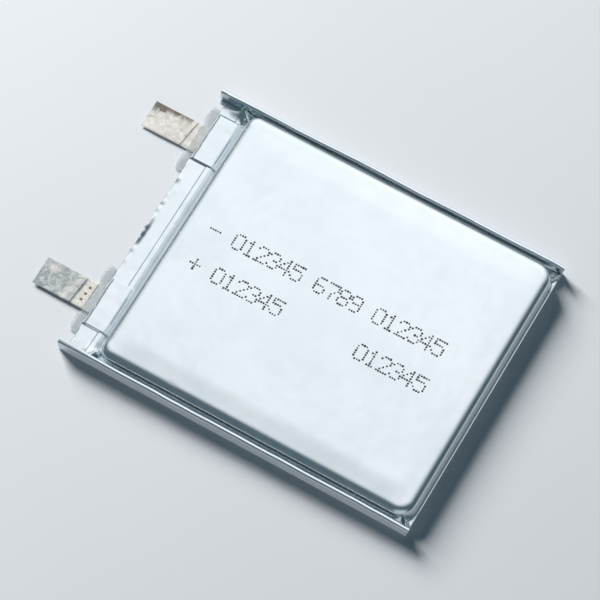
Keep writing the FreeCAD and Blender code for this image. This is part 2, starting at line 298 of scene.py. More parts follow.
def give_places(made):
    """Store where each point of the mesh lies, for the finish to place its pattern by."""
    count = len(made.data.vertices)
    places = np.zeros(count * 3, np.float32)
    made.data.vertices.foreach_get("co", places)
    attribute = made.data.attributes.new("place", "FLOAT_VECTOR", "POINT")
    attribute.data.foreach_set("vector", places)


# ------------------------------------------------------------------ material helpers

class Finish:
    """A material with a Principled shader, and short ways to add what its surface shows."""

    def __init__(self, name, metallic=0.0, roughness=0.5, place="object"):
        self.material = bpy.data.materials.new(name)
        self.material.use_nodes = True
        self.tree = self.material.node_tree
        self.shader = self.tree.nodes["Principled BSDF"]
        self.shader.inputs["Metallic"].default_value = metallic
        self.shader.inputs["Roughness"].default_value = roughness
        if place == "object":
            source = self.tree.nodes.new("ShaderNodeTexCoord")
            self.place = source.outputs["Object"]
        else:
            source = self.tree.nodes.new("ShaderNodeAttribute")
            source.attribute_name = place
            self.place = source.outputs["Vector"]

    def put(self, socket, value):
        """Join an output to an input, or set it."""
        if isinstance(value, bpy.types.NodeSocket):
            self.tree.links.new(value, socket)
        else:
            socket.default_value = value

    def cloud(self, size, detail=2.0, rough=0.5, bend=0.0, stretch=(1.0, 1.0, 1.0)):
        """Random cloudy value, in spots about as large as size in millimetres."""
        mapping = self.tree.nodes.new("ShaderNodeMapping")
        mapping.inputs["Scale"].default_value = stretch
        self.put(mapping.inputs["Vector"], self.place)
        node = self.tree.nodes.new("ShaderNodeTexNoise")
        self.put(node.inputs["Vector"], mapping.outputs["Vector"])
        node.inputs["Scale"].default_value = 1.0 / (size * MM)
        node.inputs["Detail"].default_value = detail
        node.inputs["Roughness"].default_value = rough
        node.inputs["Distortion"].default_value = bend
        return node.outputs["Fac"]

    def cells(self, size):
        """Small rounded cells, about as large as size in millimetres."""
        node = self.tree.nodes.new("ShaderNodeTexVoronoi")
        self.put(node.inputs["Vector"], self.place)
        node.inputs["Scale"].default_value = 1.0 / (size * MM)
        return node.outputs["Distance"]

    def stored(self, name):
        """Value stored on the mesh by give_values."""
        node = self.tree.nodes.new("ShaderNodeAttribute")
        node.attribute_name = name
        return node.outputs["Fac"]

    def fit(self, value, low, high, new_low=0.0, new_high=1.0):
        """The value's range low to high, fitted softly to another."""
        node = self.tree.nodes.new("ShaderNodeMapRange")
        node.interpolation_type = "SMOOTHSTEP"
        self.put(node.inputs["Value"], value)
        node.inputs["From Min"].default_value = low
        node.inputs["From Max"].default_value = high
        node.inputs["To Min"].default_value = new_low
        node.inputs["To Max"].default_value = new_high
        return node.outputs["Result"]

    def combine(self, operation, first, second):
        """Two values put together by a math operation."""
        node = self.tree.nodes.new("ShaderNodeMath")
        node.operation = operation
        self.put(node.inputs[0], first)
        self.put(node.inputs[1], second)
        return node.outputs["Value"]

    def blend_colours(self, factor, first, second):
        """One colour at factor 0 and the other at 1."""
        node = self.tree.nodes.new("ShaderNodeMix")
        node.data_type = "RGBA"
        self.put(node.inputs[0], factor)
        for socket, value in ((node.inputs[6], first), (node.inputs[7], second)):
            self.put(socket, value if isinstance(value, bpy.types.NodeSocket) else (*value, 1.0))
        return node.outputs[2]

    def paint(self, value):
        """Set the base colour."""
        self.put(self.shader.inputs["Base Color"], value)

    def polish(self, value):
        """Set the roughness from a value that varies."""
        self.put(self.shader.inputs["Roughness"], value)

    def raise_by(self, value, height, strength=1.0):
        """Bump of a height in millimetres; further calls add to it."""
        node = self.tree.nodes.new("ShaderNodeBump")
        node.inputs["Strength"].default_value = strength
        node.inputs["Distance"].default_value = height * MM
        self.put(node.inputs["Height"], value)
        for link in self.shader.inputs["Normal"].links:
            self.put(node.inputs["Normal"], link.from_socket)
        self.put(self.shader.inputs["Normal"], node.outputs["Normal"])


def wear(made, finish):
    """Give a piece its material."""
    made.data.materials.clear()
    made.data.materials.append(finish.material)


# ------------------------------------------------------------------ finishes

def laminate_finish(name, settings, scuff):
    """Satin aluminium laminate under a clear film, with cloudy tone, fine grain and scuffs."""
    finish = Finish(name, metallic=0.94)
    tone = finish.fit(finish.cloud(6.5, 4.0, 0.55), 0.32, 0.68)
    finish.paint(finish.blend_colours(tone, settings.dark_tone, settings.light_tone))
    low = settings.roughness
    finish.polish(finish.fit(finish.cloud(1.7, 5.0, 0.6), 0.3, 0.75, low - 0.03, low + 0.05 + 0.08 * scuff))
    finish.raise_by(finish.cloud(2.4, 2.0), 0.004 + 0.006 * scuff)
    finish.raise_by(finish.cloud(0.22, 2.0), 0.0010)
    return finish


def stained_nickel_finish(settings):
    """Warm nickel, stained grey-brown where the mesh says so."""
    finish = Finish("stained_nickel", metallic=0.96, place="place")
    patches = finish.cloud(0.75, 5.0, 0.62, 0.6)
    streaks = finish.cloud(1.5, 3.0, 0.55, 0.9)
    stain = finish.combine("ADD", finish.stored("stain"), finish.combine("MULTIPLY", patches, 0.9))
    stain = finish.fit(stain, 0.56, 1.08)
    clean = finish.blend_colours(finish.fit(streaks, 0.3, 0.7), settings.nickel, (0.95, 0.92, 0.86))
    finish.paint(finish.blend_colours(stain, clean, settings.stain))
    finish.polish(finish.fit(patches, 0.3, 0.7, 0.26, 0.44))
    finish.raise_by(patches, 0.05)
    finish.raise_by(streaks, 0.05)
    return finish


def mottled_nickel_finish(settings):
    """Cool nickel with wavy swirls and small dents."""
    finish = Finish("mottled_nickel", metallic=0.96, place="place")
    swirls = finish.cloud(1.1, 4.0, 0.55, 1.8)
    spots = finish.cloud(0.32, 2.0)
    mixed = finish.blend_colours(finish.fit(swirls, 0.35, 0.66), settings.dull_nickel, (0.70, 0.73, 0.72))
    pale = finish.blend_colours(finish.stored("pale"), mixed, (0.90, 0.86, 0.80))
    finish.paint(pale)
    finish.polish(finish.fit(spots, 0.3, 0.7, 0.24, 0.40))
    finish.raise_by(swirls, 0.05)
    finish.raise_by(spots, 0.012)
    return finish


def weld_finish(settings):
    """Burnt brown rim round a brighter weld."""
    finish = Finish("burnt_weld", metallic=0.6, roughness=0.5)
    spots = finish.cloud(0.12, 3.0)
    finish.paint(finish.blend_colours(finish.fit(spots, 0.4, 0.62), settings.weld, (0.50, 0.36, 0.24)))
    finish.raise_by(spots, 0.012)
    return finish


def aluminium_finish(name, tone):
    """Rolled aluminium with faint lines along the strip."""
    finish = Finish(name, metallic=1.0)
    lines = finish.cloud(0.25, 3.0, 0.6, 0.0, (1.0, 0.05, 1.0))
    dark = tuple(0.84 * part for part in tone)
    finish.paint(finish.blend_colours(finish.fit(lines, 0.3, 0.7), dark, tuple(tone)))
    finish.polish(finish.fit(lines, 0.3, 0.7, 0.24, 0.38))
    finish.raise_by(lines, 0.003)
    return finish


def film_finish(settings):
    """Cloudy sealant film that light passes through."""
    finish = Finish("sealant_film", roughness=0.32)
    haze = finish.cloud(0.9, 4.0, 0.6)
    pale = tuple(min(1.0, 1.12 * part) for part in settings.film)
    finish.paint(finish.blend_colours(finish.fit(haze, 0.35, 0.7), tuple(settings.film), pale))
    finish.polish(finish.fit(haze, 0.3, 0.7, 0.24, 0.42))
    finish.raise_by(haze, 0.04)
    finish.shader.inputs["Alpha"].default_value = settings.film_opacity
    finish.shader.inputs["IOR"].default_value = 1.5
    return finish


def ink_finish(settings):
    """Matt dark ink, thinner in places."""
    finish = Finish("printed_ink", roughness=0.6)
    worn = finish.cloud(0.35, 3.0)
    thin = tuple(min(1.0, part * 2.6 + 0.02) for part in settings.ink)
    finish.paint(finish.blend_colours(finish.fit(worn, 0.42, 0.72), tuple(settings.ink), thin))
    finish.raise_by(worn, 0.004)
    return finish


def coating_finish(name, tone, roughness):
    """Matt electrode coating with fine grain and pressed lines."""
    finish = Finish(name, roughness=roughness)
    grain = finish.cloud(0.12, 4.0, 0.65)
    lines = finish.cloud(0.6, 2.0, 0.5, 0.0, (1.0, 0.04, 1.0))
    fine = finish.combine("MULTIPLY", grain, 0.6)
    coarse = finish.combine("MULTIPLY", lines, 0.4)
    both = finish.combine("ADD", fine, coarse)
    pale = tuple(min(1.0, part * 1.9 + 0.01) for part in tone)
    finish.paint(finish.blend_colours(finish.fit(both, 0.35, 0.68), tuple(tone), pale))
    finish.raise_by(grain, 0.01)
    return finish


def porous_finish(settings):
    """White porous separator with a soft sheen."""
    finish = Finish("porous_separator", roughness=0.5)
    haze = finish.cloud(3.0, 4.0, 0.6)
    dark = tuple(0.9 * part for part in settings.separator)
    finish.paint(finish.blend_colours(finish.fit(haze, 0.35, 0.65), dark, tuple(settings.separator)))
    finish.polish(finish.fit(haze, 0.3, 0.7, 0.42, 0.58))
    finish.raise_by(finish.cloud(0.1, 2.0), 0.003)
    return finish


def copper_finish(settings):
    """Bare copper foil with a faint tarnish."""
    finish = Finish("copper_foil", metallic=1.0)
    tarnish = finish.cloud(2.2, 4.0, 0.6)
    dark = (settings.copper[0] * 0.72, settings.copper[1] * 0.66, settings.copper[2] * 0.64)
    finish.paint(finish.blend_colours(finish.fit(tarnish, 0.35, 0.7), tuple(settings.copper), dark))
    finish.polish(finish.fit(tarnish, 0.3, 0.7, 0.26, 0.42))
    finish.raise_by(finish.cloud(0.3, 2.0), 0.003)
    return finish


def tape_finish(settings):
    """Glossy insulating tape with small trapped bubbles."""
    finish = Finish("insulating_tape", roughness=0.25)
    bubbles = finish.cells(0.7)
    haze = finish.cloud(1.6, 3.0)
    pale = tuple(min(1.0, 1.18 * part) for part in settings.tape)
    finish.paint(finish.blend_colours(finish.fit(haze, 0.35, 0.65), tuple(settings.tape), pale))
    finish.polish(finish.fit(haze, 0.3, 0.7, 0.2, 0.34))
    finish.raise_by(bubbles, 0.006)
    return finish


def table_finish(settings):
    """Matt pale table; mirrors in it show as an even pale ground."""
    finish = Finish("pale_table", roughness=0.9)
    haze = finish.cloud(60.0, 2.0)
    dark = tuple(0.985 * part for part in settings.floor)
    finish.paint(finish.blend_colours(finish.fit(haze, 0.3, 0.7), dark, tuple(settings.floor)))
    finish.shader.inputs["Specular IOR Level"].default_value = 0.1
    glow = finish.tree.nodes.new("ShaderNodeEmission")
    glow.inputs["Color"].default_value = (*settings.floor, 1.0)
    glow.inputs["Strength"].default_value = 0.5
    path = finish.tree.nodes.new("ShaderNodeLightPath")
    either = finish.combine("MAXIMUM", path.outputs["Is Glossy Ray"], path.outputs["Is Transmission Ray"])
    shared = finish.combine("MULTIPLY", either, 0.6)
    mix = finish.tree.nodes.new("ShaderNodeMixShader")
    finish.put(mix.inputs[0], shared)
    finish.put(mix.inputs[1], finish.shader.outputs[0])
    finish.put(mix.inputs[2], glow.outputs[0])
    finish.put(finish.tree.nodes["Material Output"].inputs["Surface"], mix.outputs[0])
    return finish


# ------------------------------------------------------------------ pouch

class Cup:
    """Plan and height of the drawn cup and its seals, in millimetres."""

    def __init__(self, settings):
        self.radius = settings.corner_radius / MM
        self.shoulder = settings.shoulder / MM
        self.drop = settings.shoulder_drop / MM
        self.draft = settings.side_draft / MM
        self.lean = settings.end_lean / MM
        self.crown = settings.crown / MM
        self.wrinkle = settings.wrinkle / MM
        self.zone_half = settings.film_zone / MM / 2
        self.zone_rise = settings.film_zone_rise / MM
        self.end = CUT_EDGE - settings.terrace_depth / MM
        self.inner_leg = SEAL_OUTER - settings.fold_thickness / MM
        self.margin = self.inner_leg - CUP_HALF_WIDTH
        self.foot = 0.2
        self.step_line = 0.85
        self.zones = (POSITIVE_X, NEGATIVE_X + settings.negative_shift / MM)

    def wall_lines(self, lean, margin):
        """Distances inside the foot at which the mesh needs a line, across a wall and its shoulder."""
        arc = [lean + self.shoulder * (1 - math.cos(math.radians(angle))) for angle in range(0, 91, 10)]
        outside = spread(-margin, -self.foot, 0.07) + spread(-self.foot, 0.0, 0.05)
        wall = [lean * part / 5 for part in range(6)]
        return outside + wall + arc + spread(arc[-1], arc[-1] + 1.6, 0.25)

    def x_lines(self):
        """Where the mesh has its lines across the width."""
        wall = [CUP_HALF_WIDTH - depth for depth in self.wall_lines(self.draft, self.margin)]
        inside = min(wall)
        edges = []
        for centre in self.zones:
            for side in (-1, 1):
                edge = centre + side * self.zone_half
                edges += [edge + offset for offset in (-0.28, -0.18, -0.1, -0.04, 0.04, 0.1, 0.18, 0.28)]
        return gather(wall, [-x for x in wall], spread(-inside, inside, 0.36), edges)

    def y_lines(self):
        """Where the mesh has its lines along the length."""
        low_wall = [CUP_START + depth for depth in self.wall_lines(self.draft, HALF_LENGTH + CUP_START)]
        high_wall = [self.end - depth for depth in self.wall_lines(self.lean, self.margin)]
        terrace = spread(self.end + self.margin, CUT_EDGE, 0.12)
        step = [self.end + self.step_line + offset for offset in (-0.12, -0.06, 0.0, 0.06, 0.12)]
        edge = [CUT_EDGE - offset for offset in (0.18, 0.06, 0.0)]
        return gather(low_wall, high_wall, spread(max(low_wall), min(high_wall), 0.5), terrace, step, edge)

    def follow_corners(self, x, y):
        """Bend the mesh lines near each corner round the cup's rounded foot."""
        x_new = x.copy()
        y_new = y.copy()
        ends = ((-1, CUP_START, HALF_LENGTH + CUP_START), (1, self.end, self.margin))
        for side in (-1, 1):
            for end, foot_y, margin in ends:
                centre_x = side * (CUP_HALF_WIDTH - self.radius)
                centre_y = foot_y - end * self.radius
                across = side * (x - centre_x) / self.radius
                along = end * (y - centre_y) / self.radius
                across = np.where(across > 1, 1 + (across - 1) * self.radius / self.margin, across)
                along = np.where(along > 1, 1 + (along - 1) * self.radius / margin, along)
                here = (across > 1e-9) & (along > 1e-9)
                reach = np.where(here, np.maximum(across, along), 1.0)
                share_of = np.where(here, np.minimum(across, along) / reach, 0.0)
                angle = np.where(along <= across, share_of, 2 - share_of) * math.pi / 4
                radius = np.minimum(reach, 1.0) * self.radius
                keep = np.clip(reach - 1.0, 0.0, 1.0)
                round_x = centre_x + side * radius * np.cos(angle)
                round_y = centre_y + end * radius * np.sin(angle)
                x_new = np.where(here, (1 - keep) * round_x + keep * x, x_new)
                y_new = np.where(here, (1 - keep) * round_y + keep * y, y_new)
        return x_new, y_new

    def depth(self, x, y):
        """Plan distance inside the cup's foot, and how much of the wall there faces the tab end."""
        middle = (CUP_START + self.end) / 2
        half = (self.end - CUP_START) / 2
        across = np.abs(x) - (CUP_HALF_WIDTH - self.radius)
        along = np.abs(y - middle) - (half - self.radius)
        corner = np.hypot(np.maximum(across, 0), np.maximum(along, 0))
        inside = self.radius - corner - np.minimum(np.maximum(across, along), 0)
        least = 1e-6
        turned = (np.maximum(along, 0) / np.maximum(corner, least)) ** 2
        facing = np.where(corner > least, turned, along > across)
        return inside, np.where(y > middle, facing, 0.0)

    def wall_height(self, inside, facing):
        """Height of the foot, wall and shoulder at a plan distance inside the foot."""
        lean = self.draft + (self.lean - self.draft) * facing
        shoulder = self.shoulder
        rim = CELL_TOP - self.crown
        wall_top = rim - self.drop
        foot_top = SEAL_FLOOR + self.foot
        curl = np.clip((inside + self.foot) / self.foot, 0.0, 1.0)
        foot = SEAL_FLOOR + self.foot * (1 - np.sqrt(1 - curl ** 2))
        wall = foot_top + (wall_top - foot_top) * np.clip(inside / lean, 0.0, 1.0)
        turn = np.clip((inside - lean) / shoulder, 0.0, 1.0)
        arch = wall_top + self.drop * (1 - (1 - turn) ** 2.1) ** (1 / 2.1)
        return np.where(inside < 0, foot, np.where(inside < lean, wall, arch))

    def crown_height(self, x, y):
        """Slow rise from the rim to the middle of the flat face, with its ripples."""
        across = smooth(CUP_HALF_WIDTH - np.abs(x), 0.6, 4.2)
        along = smooth(y - CUP_START, 0.6, 4.2) * smooth(self.end - y, 1.3, 5.2)
        waves = 0.55 * ripple(x, y, 9.0, 2.3) + 0.3 * ripple(x, y, 4.0, 7.1)
        return across * along * (self.crown - self.wrinkle + self.wrinkle * waves)

    def zone(self, x):
        """1 over the tabs' films and 0 elsewhere."""
        total = 0.0
        for centre in self.zones:
            offset = np.abs(x - centre)
            total = total + 1 - smooth(offset, self.zone_half - 0.12, self.zone_half + 0.1)
        return total

    def terrace_height(self, x, y):
        """Relief of the sealed margin: rises over the films, inner band, and pressed edge."""
        out = y - self.end
        depth = CUT_EDGE - self.end
        zone = self.zone(x)
        band = 0.13 * (1 - smooth(out, self.step_line - 0.08, self.step_line + 0.08))
        pressed = 0.17 * smooth(out, depth - 0.46, depth - 0.10)
        rise = np.maximum((self.zone_rise - pressed) * zone, band)
        rise = rise + 0.02 * ripple(x, y, 1.8, 4.4) + 0.012 * ripple(x, y, 0.7, 9.2)
        return rise * smooth(out, 0.0, 0.2)

    def pinches(self, x, y):
        """Folds of the laminate where the walls, the seals and the terrace pull on each other."""
        total = 0.0
        near_corner = (CUP_HALF_WIDTH - 0.75, CUP_START + 0.75)
        for side in (-1, 1):
            start = (side * near_corner[0], near_corner[1])
            end = (side * (self.inner_leg + 0.05), -HALF_LENGTH)
            fin, along = ridge(x, y, start, end, 0.27)
            total = total + fin * (1.25 - 1.05 * along)
        start_x = CUP_HALF_WIDTH - 0.9
        fin, along = ridge(x, y, (start_x, self.end - 0.75), (self.inner_leg, self.end + 0.4), 0.6)
        total = total + fin * (0.95 - 0.25 * along)
        fin, along = ridge(x, y, (-start_x, self.end - 0.65), (-self.inner_leg, self.end + 0.25), 0.4)
        total = total + fin * (1.0 - 0.2 * along)
        left_bulge = (0.3 - CUP_HALF_WIDTH, self.end + 0.75)
        right_bulge = (CUP_HALF_WIDTH - 0.2, self.end + 1.35)
        total = total + 0.28 * swell(x, y, left_bulge, (0.8, 0.55))
        total = total + 0.20 * swell(x, y, right_bulge, (0.7, 0.9))
        return total

    def edge_lift(self, x, y):
        """Places where the cut edge has opened or curled up."""
        near_edge = smooth(y, CUT_EDGE - 0.75, CUT_EDGE)
        opened = 0.26 * np.exp(-((x + 0.7) / 2.0) ** 4)
        between_films = smooth(x, -9.0, -6.0) * smooth(-x, -10.4, -8.5)
        nicks = 0.30 * np.maximum(ripple(x, 0 * y, 0.55, 5.5), 0) * between_films
        return near_edge * (opened + nicks)

    def height(self, x, y):
        """Height of the pouch's outer face."""
        inside, facing = self.depth(x, y)
        wall = self.wall_height(inside, facing)
        outside = 1 - smooth(inside, -0.15, 0.25)
        extra = self.pinches(x, y) + np.where(y > self.end - 0.5, self.terrace_height(x, y), 0.0)
        lifted = np.maximum(wall, SEAL_FLOOR + extra)
        tick = 0.05 * ridge(x, y, (-18.35, 9.7), (-17.75, 9.3), 0.07)[0]
        z = np.where(outside > 0, wall + (lifted - wall) * outside, wall)
        return z + self.crown_height(x, y) + self.edge_lift(x, y) - tick

    def cut_shift(self, x):
        """How far the torn cut edge lies past or short of its line."""
        return 0.18 * ripple(x, 0 * x, 2.6, 1.7) + 0.16 * ripple(x, 0 * x, 0.8, 3.1)


def make_skin(settings):
    """Drawn half of the pouch, with its terrace, as one sheet of laminate."""
    cup = Cup(settings)
    x, y = np.meshgrid(cup.x_lines(), cup.y_lines())
    x, y = cup.follow_corners(x, y)
    z = cup.height(x, y)
    y = y + cup.cut_shift(x) * smooth(y, CUT_EDGE - 0.5, CUT_EDGE)
    rows, columns = x.shape
    made = make_object("pouch_skin", np.stack([x, y, z], -1).reshape(-1, 3), grid_faces(rows, columns))
    thicken = made.modifiers.new("laminate", "SOLIDIFY")
    thicken.thickness = LAMINATE * MM
    thicken.offset = -1.0
    wear(made, laminate_finish("pouch_laminate", settings, 0.0))
    return made


def make_back(settings):
    """Flat half of the pouch, folded up into a round lip at the bottom end."""
    cup = Cup(settings)
    lines_y = gather(spread(CUP_START + 0.02, CUT_EDGE, 0.6), spread(CUT_EDGE - 0.6, CUT_EDGE, 0.15))
    x, y = np.meshgrid(gather(spread(-CUP_HALF_WIDTH, CUP_HALF_WIDTH, 0.6)), lines_y)
    inside = smooth(CUP_HALF_WIDTH - np.abs(x), 0.6, 3.0) * smooth(y - CUP_START, 0.6, 3.0)
    inside = inside * smooth(cup.end - y, 0.3, 2.4)
    low = 0.022 * (1 - inside) + 0.012 * inside * (1 + ripple(x, y, 7.0, 6.6))
    y = y + cup.cut_shift(x) * smooth(y, CUT_EDGE - 0.5, CUT_EDGE)
    lower = np.stack([x, y, low], -1)
    upper = np.stack([x, y, np.full(x.shape, LAMINATE - 0.004)], -1)
    radius = LAMINATE
    middle_y = -HALF_LENGTH + radius
    angles = [math.radians(angle) for angle in range(270, 89, -20)]
    fold = [(CUP_START + 0.02, 0.0)]
    fold += [(middle_y + radius * math.cos(a), radius + radius * math.sin(a)) for a in angles]
    fold += [(CUP_START + 0.02, 2 * radius)]
    across = gather(spread(-CUP_HALF_WIDTH, CUP_HALF_WIDTH, 0.6))
    rows = []
    for place_y, place_z in fold:
        wave = 0.03 * ripple(across, 0 * across, 3.0, 8.3)
        rows.append(np.stack([across, place_y + wave, np.full(across.shape, place_z)], -1))
    outer = np.stack(rows)
    core = outer.copy()
    core[:, :, 2] = LAMINATE + (outer[:, :, 2] - LAMINATE) * 0.3
    core[:, :, 1] = np.maximum(outer[:, :, 1], middle_y + 0.02)
    lip = make_slab("pouch_fold", core, outer)
    sheet = make_slab("pouch_back_sheet", upper, lower)
    finish = laminate_finish("back_laminate", settings, 0.4)
    wear(lip, finish)
    wear(sheet, finish)
    return sheet, lip


def seal_profile(settings):
    """Closed outline of a folded seal, as (distance in from its outer face, height) points."""
    thick = settings.fold_thickness / MM
    leg = SEAL_FLOOR
    crown = thick / 2 + 0.06
    crown_z = SEAL_TOP - crown
    foot_end = SEAL_OUTER - CUP_HALF_WIDTH
    leg_end = leg + 0.13
    bend = 0.12
    points = [(depth, 0.0) for depth in spread(foot_end, bend, 0.2)]
    for turn in (math.radians(angle) for angle in (30, 60, 90)):
        points.append((bend - bend * math.sin(turn), bend - bend * math.cos(turn)))
    points += [(0.0, z) for z in spread(bend + 0.15, crown_z - 0.25, 0.25)]
    for a in range(0, 181, 15):
        turn = math.radians(a)
        points.append((thick / 2 - crown * math.cos(turn), crown_z + crown * math.sin(turn) ** 0.7))
    points += [(thick, z) for z in spread(crown_z - 0.25, leg_end, 0.25)]
    points += [(thick - leg, leg_end), (thick - leg, crown_z), (leg, crown_z), (leg, leg)]
    points += [(depth, leg) for depth in spread(leg + 0.1, foot_end, 0.2)]
    return points


def make_seal(side, settings):
    """Side seal of the pouch, folded over twice and turned up, with wavy faces and cut ends."""
    profile = seal_profile(settings)
    inner_start = SEAL_FLOOR + 0.02
    opening = 5.0
    slant_length = 1.4
    lines = gather(spread(-HALF_LENGTH, HALF_LENGTH, 0.4), spread(HALF_LENGTH - opening, HALF_LENGTH, 0.2))
    name = "left_seal_fold" if side < 0 else "right_seal_fold"
    seed = 11.3 if side < 0 else 17.9
    rows = []
    for place in lines:
        sway = 0.09 * noise.noise(Vector((place / 9.0, seed, 0.0)))
        sway = sway + 0.035 * noise.noise(Vector((place / 2.6, seed, 4.0)))
        lift = 0.07 * noise.noise(Vector((place / 7.0, seed, 8.0)))
        lift = lift + 0.03 * noise.noise(Vector((place / 1.9, seed, 6.0)))
        near_tabs = max(0.0, (place - (HALF_LENGTH - opening)) / opening)
        opened = 0.30 * near_tabs ** 1.3 if side < 0 else 0.10 * near_tabs ** 2
        low_end = max(0.0, (slant_length - HALF_LENGTH - place) / slant_length)
        row = []
        for depth, z in profile:
            up = z / SEAL_TOP
            inner = depth > inner_start and z > SEAL_FLOOR + 0.1
            x = SEAL_OUTER - depth + sway * up - (opened * up if inner else 0.0)
            flare = 0.05 * near_tabs * (1 if inner else -1)
            height = z * (1 + 1.2 * up * (lift + flare) / SEAL_TOP)
            slant = -0.30 * low_end * up ** 2 + (0.16 * near_tabs * (1 - up) if inner else 0.0)
            row.append((side * x, place + slant, height * (1 - 0.10 * low_end * up)))
        rows.append(row)
    points = [point for row in rows for point in row]
    count = len(profile)
    faces = []
    for row in range(len(rows) - 1):
        for column in range(count):
            after = (column + 1) % count
            here = row * count
            there = here + count
            quad = (here + column, here + after, there + after, there + column)
            faces.append(quad if side > 0 else quad[::-1])
    first = tuple(range(count))
    last = tuple((len(rows) - 1) * count + column for column in range(count))
    faces += [first[::-1], last] if side > 0 else [first, last[::-1]]
    made = make_object(name, points, faces)
    crease_sharply(made, 50)
    wear(made, laminate_finish(name + "_laminate", settings, 0.5))
    return made


# ------------------------------------------------------------------ tabs

def crease_of(joint):
    """Middle of a tab's crease and its slope across the tab."""
    point, axis = joint_axis(joint)
    if axis.x < 0:
        axis = -axis
    return point, axis.y / axis.x


def strip_stations(start, tip, crease):
    """Stations along a strip: dense near its crease."""
    return gather(spread(start, tip, 0.16), [crease + offset for offset in np.linspace(-0.35, 0.35, 15)])


def make_strip(name, path, x_middle, crease, slope, seed, settings):
    """Nickel strip along a path of (y, z) points, creased at a slant, with ripples."""
    across = np.linspace(-1.0, 1.0, 27)
    half = TAB_WIDTH / 2
    wrinkle = settings.wrinkle / MM
    path = np.array(path, float)
    run = np.gradient(path, axis=0)
    run = run / np.linalg.norm(run, axis=1)[:, None]
    normal = np.stack([-run[:, 1], run[:, 0]], -1)
    offset, station = np.meshgrid(across * half, path[:, 0])
    outside = smooth(path[:, 0], FILM_END - 0.2, FILM_END + 0.6)[:, None]
    flat_at_crease = np.minimum(1.0, np.abs(path[:, 0] - crease.y) / 0.6)[:, None]
    slant = np.exp(-((path[:, 0] - crease.y) / 1.6) ** 2)[:, None]
    tip = path[-1, 0]
    tip_near = smooth(path[:, 0], tip - 0.8, tip)[:, None]
    ragged = 0.06 * ripple(offset, 0 * offset, 0.8, seed) * tip_near
    side_wave = 0.03 * ripple(station, 0 * station, 2.2, seed + 1.0) * outside
    lift = ripple(offset, station, 2.6, seed + 2.0) + 0.45 * ripple(offset, station, 1.0, seed + 3.0)
    lift = wrinkle * lift * outside * flat_at_crease
    past = path[:, 0:1] - crease.y
    lift = lift - 0.05 * np.exp(-((past / 0.09) ** 2)) + 0.05 * np.exp(-(((past - 0.32) / 0.2) ** 2))
    x = x_middle + offset + side_wave
    y = path[:, 0:1] + slope * offset * slant + ragged
    z = path[:, 1:2] + lift + 0.0 * offset
    half_thick = TAB_THICKNESS / 2
    thin = half_thick * (1 - 0.45 * np.maximum(np.abs(across) - 0.94, 0.0) / 0.06)[None, :]
    upper = np.stack([x, y + normal[:, 0:1] * thin, z + normal[:, 1:2] * thin], -1)
    lower = np.stack([x, y - normal[:, 0:1] * thin, z - normal[:, 1:2] * thin], -1)
    made = make_slab(name, upper, lower)
    crease_sharply(made, 60)
    give_places(made)
    return made, offset, station


def bend_with(made):
    """Bake a strip's placement into its points."""
    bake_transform(made)


def arc_points(centre_y, centre_z, radius, first, last, steps=8):
    """Points of an arc, from one angle to another, in degrees."""
    angles = [math.radians(first + (last - first) * step / steps) for step in range(steps + 1)]
    return [(centre_y + radius * math.cos(a), centre_z + radius * math.sin(a)) for a in angles]


def make_negative_strip(settings):
    """Negative nickel strip: from the core of the roll, down to the seal and out to its tip."""
    crease, slope = crease_of("negative_tab_bend")
    radius = 0.3
    half_thick = TAB_THICKNESS / 2
    upper_z = negative_high.z - half_thick
    lower_z = negative_low.z + half_thick
    drop_y = roll_high.y + 1.3 * radius
    path = [(y, upper_z) for y in spread(negative_low.y, drop_y - radius - 0.1, 1.0)]
    path += arc_points(drop_y - radius, upper_z - radius, radius, 90, 0)
    path += [(drop_y, z) for z in spread(upper_z - radius - 0.2, lower_z + radius + 0.2, 0.3)]
    path += arc_points(drop_y + radius, lower_z + radius, radius, 180, 270)
    path += [(y, lower_z) for y in spread(drop_y + radius + 0.2, FILM_END - 0.3, 0.5)]
    path += [(y, lower_z) for y in strip_stations(FILM_END - 0.1, negative_tip, crease.y)]
    made, offset, station = make_strip("negative_strip", path, NEGATIVE_X, crease, slope, 21.5, settings)
    along = smooth(station, crease.y + 0.2, negative_tip)
    far_edge = smooth(offset, 0.4, 2.0)
    stain = 0.55 * far_edge * smooth(station, crease.y, crease.y + 1.0) + 0.25 * along ** 4
    stain = stain - 0.35 * swell(offset, station, (-0.6, crease.y + 2.8), (1.1, 2.6))
    root = 0.18 * smooth(-station, -crease.y, -crease.y + 0.6)
    stain = np.clip(stain + root, 0.0, 1.0)
    give_values(made, "stain", np.concatenate([stain.ravel(), stain.ravel()]))
    wear(made, stained_nickel_finish(settings))
    return made, crease, slope


def make_positive_strip(settings):
    """Positive nickel strip: its foot on the aluminium stub, and its free end."""
    crease, slope = crease_of("positive_tab_bend")
    middle_z = plate_low.z + TAB_THICKNESS / 2
    path = [(y, middle_z) for y in strip_stations(plate_low.y, positive_tip, crease.y)]
    made, offset, station = make_strip("positive_strip", path, POSITIVE_X, crease, slope, 31.5, settings)
    foot = smooth(-station, -crease.y, -crease.y + 0.35)
    band = swell(offset, station, (-0.3, crease.y + 1.1), (2.6, 0.42), -14)
    tip_patch = swell(offset, station, (1.15, positive_tip - 1.3), (0.5, 0.75))
    pale = np.clip(foot + 0.8 * band + 0.9 * tip_patch, 0.0, 1.0)
    give_values(made, "pale", np.concatenate([pale.ravel(), pale.ravel()]))
    wear(made, mottled_nickel_finish(settings))
    return made, crease, slope


